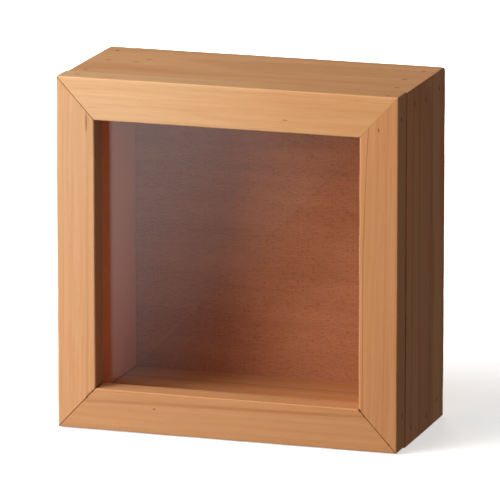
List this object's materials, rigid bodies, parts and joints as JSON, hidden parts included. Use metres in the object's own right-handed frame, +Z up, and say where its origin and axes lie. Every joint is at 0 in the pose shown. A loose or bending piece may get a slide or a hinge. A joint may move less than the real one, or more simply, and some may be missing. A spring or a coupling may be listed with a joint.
{
  "type": "shadow box",
  "caption": "Square wooden shadow box: mitred front frame with a glass pane, pinned to a deep mitred case with a lift-out plywood back held by turn buttons.",
  "frame": {"origin": "middle of the case's width and depth, on the underside of the bottom board, where it stands", "axes": "+Z up; the glazed front faces -Y and the lift-out back faces +Y; +X is to the right seen from the front"},
  "size_m": [0.2005, 0.0951, 0.2035],
  "materials": {
    "frame_wood": "oiled light pine, satin",
    "case_wood": "oiled light pine, satin",
    "back_plywood": "raw reddish lauan plywood",
    "clear_glass": "clear picture glass",
    "nail_steel": "dull dark wire nails",
    "button_brass": "brass-plated, slightly worn",
    "hanger_steel": "zinc-plated steel"
  },
  "bodies": {
    "case": {"front_top_rail": "frame_wood", "front_bottom_rail": "frame_wood", "front_left_stile": "frame_wood", "front_right_stile": "frame_wood", "top_board": "case_wood", "bottom_board": "case_wood", "left_board": "case_wood", "right_board": "case_wood", "glass_pane": "clear_glass", "top_board_nails": "nail_steel", "bottom_board_nails": "nail_steel", "left_board_nails": "nail_steel", "right_board_nails": "nail_steel", "front_frame_pins": "nail_steel", "turn_button_screws": "button_brass", "sawtooth_hanger": "hanger_steel", "hanger_nails": "hanger_steel"},
    "back_panel": {"back_panel": "back_plywood"},
    "turn_button_upper_left": {"turn_button_upper_left": "button_brass"},
    "turn_button_lower_left": {"turn_button_lower_left": "button_brass"},
    "turn_button_upper_right": {"turn_button_upper_right": "button_brass"},
    "turn_button_lower_right": {"turn_button_lower_right": "button_brass"}
  },
  "joints": [
    {"name": "back_panel_lift_out", "type": "slide", "parent": "case", "child": "back_panel", "axis": [0, 1, 0], "range_m": [0, 0.12]},
    {"name": "turn_button_upper_left_turn", "type": "hinge", "parent": "case", "child": "turn_button_upper_left", "pos_m": [-0.0955, 0.04625, 0.1515], "axis": [0, 1, 0], "continuous": true},
    {"name": "turn_button_lower_left_turn", "type": "hinge", "parent": "case", "child": "turn_button_lower_left", "pos_m": [-0.0955, 0.04625, 0.0515], "axis": [0, 1, 0], "continuous": true},
    {"name": "turn_button_upper_right_turn", "type": "hinge", "parent": "case", "child": "turn_button_upper_right", "pos_m": [0.0955, 0.04625, 0.1515], "axis": [0, -1, 0], "continuous": true},
    {"name": "turn_button_lower_right_turn", "type": "hinge", "parent": "case", "child": "turn_button_lower_right", "pos_m": [0.0955, 0.04625, 0.0515], "axis": [0, -1, 0], "continuous": true}
  ]
}
